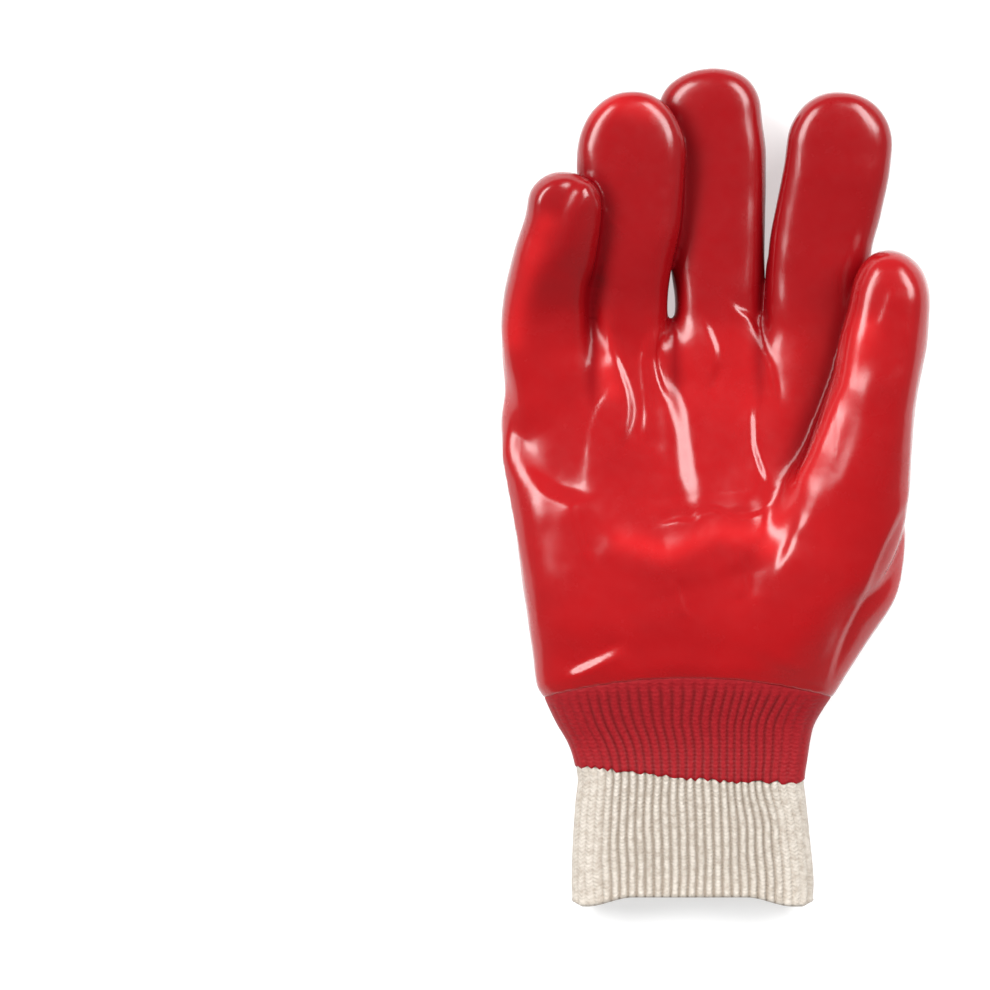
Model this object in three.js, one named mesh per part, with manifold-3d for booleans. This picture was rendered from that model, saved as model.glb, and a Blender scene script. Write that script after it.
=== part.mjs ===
// PVC coated work glove with a ribbed knit wrist, for the right hand, empty and lying on its back, palm up.
// Millimetres. +X is the thumb's side, +Y points to the fingertips and +Z is up. The origin is under the
// middle of the glove, on the surface that it lies on.
import * as THREE from "three";
import { mergeVertices } from "three/addons/utils/BufferGeometryUtils.js";
import Module from "manifold-3d";

const wasm = await Module();
wasm.setup();

// Driving dimensions. Lengths run from hem to fingertips, and widths are those of the flat glove.
const CUFF_LENGTH = 40.4; // bare knit, from the hem to the edge of the coating
const BAND_LENGTH = 29.4; // knit that the coating has soaked, up to the seam
const PALM_LENGTH = 112.2; // smooth hand, from the seam to the finger crotches
const HEM_WIDTH = 77;
const HEM_THICKNESS = 17;
const WRIST_WIDTH = 72;
const WRIST_THICKNESS = 18.5;
const WRIST_LIFT = 0.8; // the narrow wrist stands a little off the surface
const SEAM_WIDTH = 94;
const SEAM_THICKNESS = 26;
const PALM_WIDTH = 118;
const PALM_THICKNESS = 32;
const SEAM_RISE = 2; // the middle of the seam's arch above the seam's own level
const SEAM_FALL = 4.6; // the ends of the arch below that level
const REST_DEPTH = 1.2; // how much of the round back is flattened where it lies
const WALL = 1.8; // coating and the cotton under it
const KNIT_WALL = 2.4; // rib knit, from the crests of its ribs to the inside
const RIB_COUNT = 60;
const RIB_DEPTH = 0.8;
const COATED_RIB_DEPTH = 0.5; // the coating half fills the grooves
const COATING_DIP = 2.6; // how far the coating's lower edge wanders up and down
const COATING_PHASE = 0.5; // where across the wrist it is lowest, as an angle in radians
const HEM_ROUNDING = 1.6; // the hem is a rounded fold
const PIECE_GAP = 0.3;
const DIGIT_SIZES = {
  index: { length: 110, width: 34, thickness: 18, tip: 17 },
  middle: { length: 117.5, width: 33, thickness: 18, tip: 14 },
  ring: { length: 110, width: 34, thickness: 16.5, tip: 21 },
  little: { length: 84.5, width: 27, thickness: 16, tip: 10 },
  thumb: { length: 123, width: 27, thickness: 30, tip: 16 },
};

// How finely the curved walls are divided, outside and in the hollow.
const OUTSIDE = { digitSides: 18, digitSteps: 9, tipSteps: 4, palmSides: 36, palmSteps: 14 };
const INSIDE = { digitSides: 12, digitSteps: 6, tipSteps: 3, palmSides: 24, palmSteps: 9 };
const KNIT_STEPS = 7;
const KNIT_INSIDE_SIDES = 36;
const EDGE_STEPS = 60;
const FOLD_STEPS = 10;
const FOLD_END = 0.4; // a fold's height at its ends, as a share of its height in the middle
const REST_FADE = 0.12; // the back becomes flat over this share of PALM_LENGTH beyond the seam

const HEM_Y = 0;
const COATING_Y = HEM_Y + CUFF_LENGTH;
const SEAM_Y = COATING_Y + BAND_LENGTH;
const CROTCH_Y = SEAM_Y + PALM_LENGTH;

const COATING_RED = 0xc8161d;
const KNIT_CREAM = 0xded3c0;

const table = (columns, rows) =>
  rows.map((row) => Object.fromEntries(columns.map((name, i) => [name, row[i]])));

// The hand without its digits. up is a share of PALM_LENGTH above the seam, centre and wide are shares of
// PALM_WIDTH, and thick and floor, the height of its underside, are shares of PALM_THICKNESS.
const PALM_SECTIONS = table(
  ["up", "centre", "wide", "thick", "floor"],
  [
    [0.07, 0.017, 0.849, 0.9, 0.0],
    [0.16, 0.039, 0.915, 1.0, 0.0],
    [0.25, 0.058, 0.98, 1.04, 0.0],
    [0.34, 0.062, 1.014, 1.04, 0.0],
    [0.45, 0.058, 1.03, 0.98, 0.0],
    [0.57, 0.03, 1.01, 0.9, 0.0],
    [0.66, 0.008, 0.996, 0.86, 0.0],
    [0.75, 0.001, 0.988, 0.84, 0.0],
    [0.83, 0.003, 0.972, 0.78, 0.02],
    [0.91, 0.001, 0.965, 0.64, 0.07],
    [0.97, -0.004, 0.93, 0.42, 0.16],
    [1.0, -0.01, 0.86, 0.22, 0.26],
  ],
);

// The knit wrist below the seam. up is a share of CUFF_LENGTH or BAND_LENGTH, centre a share of WRIST_WIDTH
// and flare how far the section has grown from the wrist to the hem or to the seam.
const CUFF_SECTIONS = table(
  ["up", "centre", "flare"],
  [
    [0.0, 0.02, 0.9],
    [0.2, 0.02, 1.0],
    [0.52, 0.015, 0.7],
    [0.83, 0.012, 0.28],
  ],
);
const BAND_SECTIONS = table(
  ["up", "centre", "flare"],
  [
    [0.0, 0.012, 0.0],
    [0.24, 0.01, 0.1],
    [0.41, 0.002, 0.22],
    [0.58, -0.01, 0.41],
    [0.75, -0.008, 0.65],
    [0.92, 0.0, 0.9],
  ],
);

// Where each digit leaves the inside of the hand: across is a share of PALM_WIDTH from its middle, up a share
// of PALM_LENGTH above the seam and high a share of PALM_THICKNESS.
const DIGIT_ROOTS = table(
  ["name", "across", "up", "high"],
  [
    ["index", 0.321, 0.69, 0.47],
    ["middle", 0.075, 0.69, 0.44],
    ["ring", -0.145, 0.69, 0.47],
    ["little", -0.364, 0.69, 0.53],
    ["thumb", 0.233, 0.127, 0.53],
  ],
);

// Each digit from its root to its tip. along is a share of the digit's length, across and wide are shares of
// its width, lift and thick are shares of its thickness, and roll is the turn about its length, in degrees.
const DIGIT_COLUMNS = ["along", "across", "lift", "wide", "thick", "roll"];
const DIGIT_SECTIONS = {
  index: table(DIGIT_COLUMNS, [
    [0.0, 0.0, 0.0, 0.6, 0.6, 0],
    [0.17, 0.03, 0.03, 0.87, 1.0, 0],
    [0.32, 0.06, 0.06, 0.93, 1.03, 0],
    [0.57, 0.12, 0.17, 0.95, 1.0, 2],
    [0.69, 0.2, 0.25, 0.97, 1.0, 4],
    [0.8, 0.27, 0.33, 0.98, 0.98, 5],
    [1.0, 0.33, 0.42, 0.98, 0.91, 6],
  ]),
  middle: table(DIGIT_COLUMNS, [
    [0.0, 0.0, 0.0, 0.6, 0.6, 0],
    [0.16, 0.01, -0.03, 0.82, 0.98, 0],
    [0.38, 0.02, -0.06, 0.84, 1.0, 0],
    [0.54, 0.0, -0.08, 0.93, 1.0, -2],
    [0.75, -0.01, -0.08, 0.98, 0.96, -4],
    [0.86, -0.05, -0.06, 0.98, 0.93, -4],
    [1.0, -0.11, -0.03, 1.02, 0.91, -4],
  ]),
  ring: table(DIGIT_COLUMNS, [
    [0.0, 0.0, 0.0, 0.5, 0.6, 0],
    [0.17, -0.02, 0.09, 0.69, 1.01, 0],
    [0.32, -0.04, 0.18, 0.69, 1.01, 0],
    [0.5, -0.05, 0.39, 0.8, 0.99, 2],
    [0.63, -0.02, 0.52, 0.92, 0.99, 4],
    [0.78, -0.03, 0.61, 1.01, 0.97, 5],
    [1.0, 0.0, 0.7, 1.01, 0.92, 5],
  ]),
  little: table(DIGIT_COLUMNS, [
    [0.0, 0.1, -0.1, 0.6, 0.6, 0],
    [0.22, -0.02, 0.04, 0.88, 0.98, 0],
    [0.37, -0.07, 0.19, 1.02, 1.0, 2],
    [0.52, -0.06, 0.41, 1.01, 1.0, 6],
    [0.67, 0.02, 0.78, 0.96, 0.97, 10],
    [0.82, 0.12, 1.06, 0.89, 0.95, 12],
    [1.0, 0.18, 1.22, 0.82, 0.88, 12],
  ]),
  thumb: table(DIGIT_COLUMNS, [
    [0.0, 0.0, 0.0, 0.7, 0.6, 0],
    [0.13, 0.35, 0.08, 1.15, 0.88, 0],
    [0.26, 0.72, 0.18, 1.38, 1.0, 0],
    [0.39, 0.89, 0.3, 1.35, 1.03, 0],
    [0.49, 1.0, 0.4, 1.2, 1.03, 0],
    [0.65, 1.15, 0.52, 1.02, 0.99, 0],
    [0.77, 1.26, 0.57, 1.01, 0.95, 0],
    [0.87, 1.33, 0.6, 0.94, 0.9, 0],
    [1.0, 1.31, 0.62, 0.91, 0.87, 0],
  ]),
};

// Folds and dents on the palm side (side 1) and on the back (side -1), each along a curve from one end over a
// bend to the other. The ends and the bend are across and up in shares of PALM_WIDTH and PALM_LENGTH, spread
// is the fold's half width as a share of PALM_WIDTH, and height is a share of PALM_THICKNESS, under 0 in dents.
const FOLDS = table(
  ["side", "x0", "y0", "x1", "y1", "x2", "y2", "spread", "height"],
  [
    [1, -0.12, 0.69, 0.0, 0.68, 0.12, 0.69, 0.11, -0.11],
    [1, -0.257, 0.96, -0.25, 0.88, -0.2, 0.8, 0.035, -0.12],
    [1, -0.04, 1.01, -0.045, 0.95, -0.05, 0.9, 0.035, -0.09],
    [1, 0.205, 1.0, 0.28, 0.8, 0.235, 0.58, 0.06, -0.12],
    [1, -0.06, 0.98, -0.055, 0.85, 0.02, 0.52, 0.04, 0.07],
    [1, -0.22, 0.98, -0.14, 0.82, -0.18, 0.68, 0.028, 0.06],
    [1, -0.47, 0.67, -0.36, 0.54, -0.26, 0.36, 0.035, 0.06],
    [1, -0.16, 0.52, 0.02, 0.42, 0.3, 0.55, 0.035, 0.05],
    [1, -0.5, 0.885, -0.42, 0.87, -0.34, 0.86, 0.035, -0.08],
    [-1, 0.02, 1.47, 0.05, 1.48, 0.08, 1.47, 0.07, -0.08],
    [-1, 0.44, 1.51, 0.46, 1.52, 0.49, 1.51, 0.065, -0.08],
  ],
);

// A smooth value of one column at a place between the rows of a table.
function columnAt(rows, key, place, column) {
  const last = rows.length - 1;
  const at = Math.min(Math.max(place, rows[0][key]), rows[last][key]);
  let i = 0;
  while (i < last - 1 && rows[i + 1][key] < at) i += 1;
  const slope = (n) => {
    const before = rows[Math.max(n - 1, 0)];
    const after = rows[Math.min(n + 1, last)];
    return (after[column] - before[column]) / (after[key] - before[key]);
  };
  const [start, end] = [rows[i], rows[i + 1]];
  const span = end[key] - start[key];
  const t = (at - start[key]) / span;
  const fade = t * t * (3 - 2 * t);
  const ease = span * t * (1 - t);
  return (
    start[column] * (1 - fade) + end[column] * fade + ease * ((1 - t) * slope(i) - t * slope(i + 1))
  );
}

// The sections of the wrist and the hand in millimetres, from the hem to the crotches.
const grown = (small, large, share) => small + (large - small) * share;
const TRUNK = [
  ...CUFF_SECTIONS.map((r) => ({
    y: HEM_Y + r.up * CUFF_LENGTH,
    x: r.centre * WRIST_WIDTH,
    width: grown(WRIST_WIDTH, HEM_WIDTH, r.flare),
    thickness: grown(WRIST_THICKNESS, HEM_THICKNESS, r.flare),
    floor: WRIST_LIFT * (1 - Math.min(r.flare, 1)),
  })),
  ...BAND_SECTIONS.map((r) => ({
    y: COATING_Y + r.up * BAND_LENGTH,
    x: r.centre * WRIST_WIDTH,
    width: grown(WRIST_WIDTH, SEAM_WIDTH, r.flare),
    thickness: grown(WRIST_THICKNESS, SEAM_THICKNESS, r.flare),
    floor: WRIST_LIFT * (1 - r.flare),
  })),
  { y: SEAM_Y, x: 0, width: SEAM_WIDTH, thickness: SEAM_THICKNESS, floor: 0 },
  ...PALM_SECTIONS.map((r) => ({
    y: SEAM_Y + r.up * PALM_LENGTH,
    x: r.centre * PALM_WIDTH,
    width: r.wide * PALM_WIDTH,
    thickness: r.thick * PALM_THICKNESS,
    floor: r.floor * PALM_THICKNESS,
  })),
];

// How far the folds lift the wall at a place. facing runs from 1 on top over 0 at the side to -1 below.
function foldHeight(x, y, facing) {
  const across = x / PALM_WIDTH;
  const up = (y - SEAM_Y) / PALM_LENGTH;
  const tall = PALM_LENGTH / PALM_WIDTH;
  let height = 0;
  for (const f of FOLDS) {
    const shown = Math.max(0, f.side * facing);
    let nearest = Infinity;
    let near = 0;
    for (let i = 0; i <= FOLD_STEPS; i += 1) {
      const t = i / FOLD_STEPS;
      const [a, b, c] = [(1 - t) * (1 - t), 2 * t * (1 - t), t * t];
      const dx = across - (a * f.x0 + b * f.x1 + c * f.x2);
      const dy = (up - (a * f.y0 + b * f.y1 + c * f.y2)) * tall;
      const d = Math.hypot(dx, dy);
      if (d < nearest) [nearest, near] = [d, t];
    }
    const taper = FOLD_END + (1 - FOLD_END) * Math.sin(Math.PI * near);
    height += f.height * shown * taper * Math.exp(-((nearest / f.spread) ** 2));
  }
  return height * PALM_THICKNESS;
}

// A closed tube over rings of points, each ring the same way round, with a flat end on the first and last.
function tube(rings) {
  const sides = rings[0].length;
  const middle = (ring) =>
    ring.reduce((sum, p) => sum.add(p), new THREE.Vector3()).multiplyScalar(1 / sides);
  const points = [...rings.flat(), middle(rings[0]), middle(rings.at(-1))];
  const firstEnd = rings.length * sides;
  const faces = [];
  for (let s = 0; s < sides; s += 1) {
    const next = (s + 1) % sides;
    for (let r = 0; r + 1 < rings.length; r += 1) {
      const [a, b] = [r * sides + s, r * sides + next];
      faces.push(a, a + sides, b, b, a + sides, b + sides);
    }
    const top = (rings.length - 1) * sides;
    faces.push(firstEnd, s, next, firstEnd + 1, top + next, top + s);
  }
  const geometry = new THREE.BufferGeometry().setFromPoints(points);
  geometry.setIndex(faces);
  return geometry;
}

function solid(geometry) {
  const bare = geometry.clone();
  for (const name of ["normal", "uv"]) bare.deleteAttribute(name);
  const merged = mergeVertices(bare, 1e-4);
  return new wasm.Manifold(
    new wasm.Mesh({
      numProp: 3,
      vertProperties: merged.attributes.position.array,
      triVerts: new Uint32Array(merged.index.array),
    }),
  );
}

// A rounded oblong: 2 is an ellipse, and more is squarer.
function oblong(angle, squareness) {
  const power = (v) => Math.sign(v) * Math.abs(v) ** (2 / squareness);
  return [power(Math.cos(angle)), power(Math.sin(angle))];
}

function trunkAt(y) {
  const read = (column) => columnAt(TRUNK, "y", y, column);
  const sunk = REST_DEPTH * THREE.MathUtils.smoothstep(y, SEAM_Y, SEAM_Y + REST_FADE * PALM_LENGTH);
  return { x: read("x"), width: read("width"), thickness: read("thickness"), floor: read("floor") - sunk };
}

const TRUNK_SQUARENESS = 2.4;
const ringAngles = (sides) => Array.from({ length: sides }, (_, i) => (2 * Math.PI * i) / sides);

// One ring of the wrist or hand. inset takes it in by a wall, groove takes every second point in by the depth
// of a rib, and folded adds the folds.
function trunkRing(y, inset, sides, { groove = 0, folded = false } = {}) {
  const s = trunkAt(y);
  return ringAngles(sides).map((angle, i) => {
    const [u, v] = oblong(angle, TRUNK_SQUARENESS);
    const taken = inset + (i % 2 ? groove : 0);
    const x = s.x + u * (s.width / 2 - taken);
    const fold = folded ? foldHeight(x, y, v) * Math.abs(v) : 0;
    const z = s.floor + s.thickness / 2 + v * (s.thickness / 2 - taken);
    return new THREE.Vector3(x, y, z + Math.sign(v) * fold);
  });
}

const spaced = (from, to, steps) =>
  Array.from({ length: steps + 1 }, (_, i) => from + ((to - from) * i) / steps);

function palmForm(inset, detail) {
  const start = SEAM_Y - SEAM_FALL - 2 * PIECE_GAP - WALL;
  const end = CROTCH_Y - 2 * inset;
  const rings = spaced(start, end, detail.palmSteps).map((y) =>
    trunkRing(y, inset, detail.palmSides, { folded: true }),
  );
  return solid(tube(rings));
}

function digitPath(name) {
  const size = DIGIT_SIZES[name];
  const root = DIGIT_ROOTS.find((r) => r.name === name);
  const start = new THREE.Vector3(
    root.across * PALM_WIDTH,
    SEAM_Y + root.up * PALM_LENGTH,
    root.high * PALM_THICKNESS,
  );
  const read = (along, column) => columnAt(DIGIT_SECTIONS[name], "along", along, column);
  return (along) => ({
    centre: new THREE.Vector3(
      read(along, "across") * size.width,
      along * size.length,
      read(along, "lift") * size.thickness,
    ).add(start),
    width: read(along, "wide") * size.width,
    thickness: read(along, "thick") * size.thickness,
    roll: THREE.MathUtils.degToRad(read(along, "roll")),
  });
}

const DIGIT_SQUARENESS = 2.25;
const TIP_SQUARENESS = 2.1;
const TIP_FLAT = 0.25; // the last ring of a tip lies this share of a step before the very end
const DIRECTION_STEP = 0.01; // the share of a digit over which its direction is taken

function digitForm(name, inset, detail) {
  const { length, tip } = DIGIT_SIZES[name];
  const at = digitPath(name);
  const capStart = 1 - tip / length;
  const end = 1 - inset / length;
  const places = spaced(0, capStart, detail.digitSteps).map((along) => ({ along, share: 1 }));
  for (let i = 1; i <= detail.tipSteps; i += 1) {
    const turn = (Math.PI / 2) * (i / (detail.tipSteps + TIP_FLAT));
    const [share, reach] = oblong(turn, TIP_SQUARENESS);
    places.push({ along: grown(capStart, end, reach), share });
  }
  const rings = places.map(({ along, share }) => {
    const here = at(along);
    const near = Math.min(Math.max(along, DIRECTION_STEP), 1 - DIRECTION_STEP);
    const tangent = at(near + DIRECTION_STEP).centre.sub(at(near - DIRECTION_STEP).centre).normalize();
    const side = new THREE.Vector3().crossVectors(tangent, new THREE.Vector3(0, 0, 1)).normalize();
    side.applyAxisAngle(tangent, here.roll);
    const up = new THREE.Vector3().crossVectors(side, tangent);
    return ringAngles(detail.digitSides).map((angle) => {
      const [u, v] = oblong(angle, DIGIT_SQUARENESS);
      const point = here.centre
        .clone()
        .addScaledVector(side, u * share * (here.width / 2 - inset))
        .addScaledVector(up, v * share * (here.thickness / 2 - inset));
      const fold = foldHeight(point.x, point.y, v) * Math.abs(v) * share;
      return point.addScaledVector(up, Math.sign(v) * fold);
    });
  });
  return solid(tube(rings));
}

// Everything below a level, as one large block.
function blockBelow(level) {
  const size = 4 * (PALM_LENGTH + PALM_WIDTH);
  const block = new THREE.BoxGeometry(size, size, size).translate(0, 0, level - size / 2);
  return solid(block);
}

// Everything on the fingers' side of a line across the glove, y = line(x).
function blockBeyond(line) {
  const reach = 1.5 * PALM_WIDTH;
  const far = 2 * (CROTCH_Y + PALM_LENGTH);
  const shape = new THREE.Shape(
    spaced(-reach, reach, EDGE_STEPS).map((x) => new THREE.Vector2(x, line(x))),
  );
  shape.lineTo(reach, far).lineTo(-reach, far);
  const depth = 4 * PALM_THICKNESS;
  const geometry = new THREE.ExtrudeGeometry(shape, { depth, bevelEnabled: false, steps: 1 });
  return solid(geometry.translate(0, 0, -depth / 2));
}

function seamLine(offset) {
  const arch = (x) => Math.min(1, Math.abs(x) / (SEAM_WIDTH / 2)) ** 2;
  return (x) => SEAM_Y + SEAM_RISE + offset - (SEAM_RISE + SEAM_FALL) * arch(x);
}

function coatingLine(offset) {
  return (x) => COATING_Y + offset - COATING_DIP * Math.sin((Math.PI * x) / WRIST_WIDTH + COATING_PHASE);
}

function handForm(inset, detail) {
  const digits = Object.keys(DIGIT_SIZES).map((name) => digitForm(name, inset, detail));
  const whole = digits.reduce((joined, digit) => joined.add(digit), palmForm(inset, detail));
  return whole.subtract(blockBelow(inset));
}

function hand() {
  const shell = handForm(0, OUTSIDE).subtract(handForm(WALL, INSIDE));
  return shell.intersect(blockBeyond(seamLine(PIECE_GAP / 2)));
}

// The whole knit wrist, open at both ends, with ribs that the coating half fills beyond its edge.
function knitWrist() {
  const top = SEAM_Y + SEAM_RISE + KNIT_WALL;
  const grooveAt = (y) => (y < COATING_Y ? RIB_DEPTH : COATED_RIB_DEPTH);
  const hem = [HEM_Y, HEM_Y + HEM_ROUNDING];
  const outside = [...hem, ...spaced(HEM_Y + 3 * HEM_ROUNDING, top, KNIT_STEPS)].map((y) =>
    trunkRing(y, y > HEM_Y ? 0 : HEM_ROUNDING / 2, 2 * RIB_COUNT, { groove: grooveAt(y) }),
  );
  const lip = [HEM_Y - HEM_ROUNDING, HEM_Y + HEM_ROUNDING]; // the mouth widens over the rounded hem
  const inside = [...lip, ...spaced(COATING_Y / 2, top + KNIT_WALL, KNIT_STEPS - 2)].map((y) =>
    trunkRing(y, KNIT_WALL - (y < HEM_Y ? HEM_ROUNDING : 0), KNIT_INSIDE_SIDES),
  );
  return solid(tube(outside)).subtract(solid(tube(inside)));
}

function mesh(name, body, color, roughness) {
  const made = body.getMesh();
  const geometry = new THREE.BufferGeometry();
  geometry.setAttribute("position", new THREE.BufferAttribute(made.vertProperties, made.numProp));
  geometry.setIndex(new THREE.BufferAttribute(made.triVerts, 1));
  geometry.computeVertexNormals();
  const piece = new THREE.Mesh(geometry, new THREE.MeshStandardMaterial({ color, roughness, metalness: 0 }));
  piece.name = name;
  return piece;
}

const wrist = knitWrist();
const belowSeam = wrist.subtract(blockBeyond(seamLine(-PIECE_GAP / 2)));
const beyondCoating = blockBeyond(coatingLine(PIECE_GAP / 2));
const belowCoating = blockBeyond(coatingLine(-PIECE_GAP / 2));

const pieces = new THREE.Group();
pieces.add(
  mesh("coated_hand", hand(), COATING_RED, 0.25),
  mesh("coated_wrist_band", belowSeam.intersect(beyondCoating), COATING_RED, 0.45),
  mesh("knit_cuff", belowSeam.subtract(belowCoating), KNIT_CREAM, 0.95),
);
const box = new THREE.Box3().setFromObject(pieces, true);
const middle = box.getCenter(new THREE.Vector3());
pieces.position.set(-middle.x, -middle.y, -box.min.z);

const glove = new THREE.Group();
glove.add(pieces);
export default glove;
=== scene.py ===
import math

import bpy
import numpy as np
import openvdb
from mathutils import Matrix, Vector


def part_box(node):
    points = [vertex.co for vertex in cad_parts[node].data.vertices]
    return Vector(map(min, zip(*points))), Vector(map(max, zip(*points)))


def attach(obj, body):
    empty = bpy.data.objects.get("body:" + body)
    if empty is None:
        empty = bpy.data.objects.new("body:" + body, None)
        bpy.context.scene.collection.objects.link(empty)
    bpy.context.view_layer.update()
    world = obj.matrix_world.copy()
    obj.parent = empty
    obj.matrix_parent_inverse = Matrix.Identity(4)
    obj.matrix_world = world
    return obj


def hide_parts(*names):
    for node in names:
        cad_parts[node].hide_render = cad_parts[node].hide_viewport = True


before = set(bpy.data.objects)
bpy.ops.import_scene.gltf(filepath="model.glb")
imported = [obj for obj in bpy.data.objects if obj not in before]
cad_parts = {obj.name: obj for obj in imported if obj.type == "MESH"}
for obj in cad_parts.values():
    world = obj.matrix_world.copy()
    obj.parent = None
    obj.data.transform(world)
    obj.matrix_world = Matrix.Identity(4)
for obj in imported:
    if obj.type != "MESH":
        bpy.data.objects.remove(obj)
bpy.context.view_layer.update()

# A coated work glove with a ribbed knit wrist, for the right hand, empty and lying on its back, palm up.
# The forms below are in millimetres, with the hem at y = 0, the palm side up and the thumb towards +X.
CUFF_LENGTH = 40.4
BAND_LENGTH = 29.4
PALM_LENGTH = 112.2
HEM_WIDTH, HEM_THICKNESS = 77, 17
WRIST_WIDTH, WRIST_THICKNESS, WRIST_LIFT = 72, 18.5, 0.8
SEAM_WIDTH, SEAM_THICKNESS = 94, 26
PALM_WIDTH, PALM_THICKNESS = 118, 32
SEAM_RISE, SEAM_FALL = 2, 4.6
REST_DEPTH, REST_FADE = 1.2, 0.12
WALL, KNIT_WALL = 1.8, 2.4
COATING_LIP = 0.3  # how far the coated knit stands out over the bare knit
RIB_COUNT = 60
COATING_DIP, COATING_PHASE, COATING_RISE = 2.6, 0.5, 1.5
HEM_ROUNDING = 1.6
TRUNK_SQUARENESS, PALM_SQUARENESS, DIGIT_SQUARENESS, TIP_SQUARENESS = 2.4, 2.9, 2.7, 2.1
TIP_FLATNESS = 0.6  # the face of a fingertip stays flat almost to its rim
# How softly forms melt into each other.
FINGER_BLEND = 7
THUMB_TIP_BLEND, THUMB_FOOT_BLEND = 1.6, 14.6
DIGIT_TO_DIGIT_BLEND = 1.2
TABLE_ROUNDING, SEAM_ROUNDING = 2.0, 1.0
# The hand's skin is drawn in at the seam, and its folds fade in above it.
SEAM_INSET, INSET_FADE = 0.45, 5
FOLDS_START, FOLDS_FULL = 0.5, 8
COATING_Y = CUFF_LENGTH
SEAM_Y = COATING_Y + BAND_LENGTH
CROTCH_Y = SEAM_Y + PALM_LENGTH

# [share of the palm's length, centre, width, thickness, height of the underside]
PALM_SECTIONS = [
    (0.07, 0.017, 0.849, 0.9, 0.0),
    (0.16, 0.039, 0.915, 1.0, 0.0),
    (0.25, 0.058, 0.98, 1.04, 0.0),
    (0.34, 0.062, 1.014, 1.04, 0.0),
    (0.45, 0.058, 1.03, 0.98, 0.0),
    (0.57, 0.03, 1.01, 0.9, 0.0),
    (0.66, 0.008, 0.996, 0.86, 0.0),
    (0.75, 0.001, 0.988, 0.84, 0.0),
    (0.83, 0.003, 0.972, 0.78, 0.02),
    (0.91, 0.001, 0.965, 0.70, 0.06),
    (0.97, -0.004, 0.93, 0.56, 0.11),
    (1.0, -0.01, 0.86, 0.34, 0.21),
]
# [share of the cuff's or band's length, centre, growth from the wrist to the hem or to the seam]
CUFF_SECTIONS = [(0.0, 0.02, 0.9), (0.2, 0.02, 1.0), (0.52, 0.015, 0.7), (0.83, 0.012, 0.28)]
BAND_SECTIONS = [
    (0.0, 0.012, 0.0),
    (0.24, 0.01, 0.1),
    (0.41, 0.002, 0.22),
    (0.58, -0.01, 0.41),
    (0.75, -0.008, 0.65),
    (0.92, 0.0, 0.9),
]
# Length, width, thickness and length of the rounded tip, then where the digit starts in the hand.
DIGITS = {
    "index": ((110, 34, 18, 17), (0.321, 0.69, 0.47)),
    "middle": ((117.5, 33, 18, 14), (0.075, 0.69, 0.44)),
    "ring": ((110, 34, 16.5, 21), (-0.145, 0.69, 0.47)),
    "little": ((84.5, 27, 16, 10), (-0.364, 0.69, 0.53)),
    "thumb": ((123, 27, 30, 16), (0.233, 0.127, 0.53)),
}
# [share of the length, shift across, lift, width, thickness, roll in degrees]
DIGIT_SECTIONS = {
    "index": [
        (0.0, 0.0, 0.0, 0.6, 0.6, 0),
        (0.17, 0.03, 0.03, 0.87, 1.0, 0),
        (0.32, 0.06, 0.06, 0.93, 1.03, 0),
        (0.57, 0.12, 0.17, 0.95, 1.0, 2),
        (0.69, 0.2, 0.25, 0.97, 1.0, 4),
        (0.8, 0.27, 0.33, 0.98, 0.98, 5),
        (1.0, 0.33, 0.42, 0.98, 0.91, 6),
    ],
    "middle": [
        (0.0, 0.0, 0.0, 0.6, 0.6, 0),
        (0.16, 0.01, -0.03, 0.82, 0.98, 0),
        (0.38, 0.02, -0.06, 0.84, 1.0, 0),
        (0.54, 0.0, -0.08, 0.93, 1.0, -2),
        (0.75, -0.01, -0.08, 0.98, 0.96, -4),
        (0.86, -0.05, -0.06, 0.98, 0.93, -4),
        (1.0, -0.11, -0.03, 1.02, 0.91, -4),
    ],
    "ring": [
        (0.0, 0.0, 0.0, 0.5, 0.6, 0),
        (0.17, -0.02, 0.09, 0.69, 1.01, 0),
        (0.32, -0.04, 0.18, 0.69, 1.01, 0),
        (0.5, -0.05, 0.39, 0.8, 0.99, 2),
        (0.63, -0.02, 0.52, 0.92, 0.99, 4),
        (0.78, -0.03, 0.61, 1.01, 0.97, 5),
        (1.0, 0.0, 0.7, 1.01, 0.92, 5),
    ],
    "little": [
        (0.0, 0.1, -0.1, 0.6, 0.6, 0),
        (0.22, -0.02, 0.04, 0.88, 0.98, 0),
        (0.37, -0.07, 0.19, 1.02, 1.0, 2),
        (0.52, -0.06, 0.41, 1.01, 1.0, 6),
        (0.67, 0.02, 0.78, 0.96, 0.97, 10),
        (0.82, 0.12, 1.06, 0.89, 0.95, 12),
        (1.0, 0.18, 1.22, 0.82, 0.88, 12),
    ],
    "thumb": [
        (0.0, 0.0, 0.0, 0.7, 0.6, 0),
        (0.13, 0.35, 0.08, 1.15, 0.88, 0),
        (0.26, 0.72, 0.18, 1.38, 1.0, 0),
        (0.39, 0.89, 0.3, 1.35, 1.03, 0),
        (0.49, 1.0, 0.4, 1.2, 1.03, 0),
        (0.65, 1.15, 0.52, 1.02, 0.99, 0),
        (0.77, 1.26, 0.57, 1.01, 0.95, 0),
        (0.87, 1.33, 0.6, 0.94, 0.9, 0),
        (1.0, 1.31, 0.62, 0.91, 0.87, 0),
    ],
}

# Folds and highlights are placed in the photograph's own columns and rows. One of them is this many mm, and the
# glove's middle line and hem lie on the column and row that follow.
PIXEL = 0.3159
MIDDLE_COLUMN, HEM_ROW = 687.9, 906.7

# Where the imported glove's own origin lies in these millimetres.
knit_low, knit_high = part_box("knit_cuff")
AXIS_X = (knit_low.x + knit_high.x) * 500 - 0.02 * WRIST_WIDTH
AXIS_Y = knit_low.y * 1000


def to_frame(points):
    return (np.asarray(points, float) + [AXIS_X, AXIS_Y, 0]) / 1000


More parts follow.
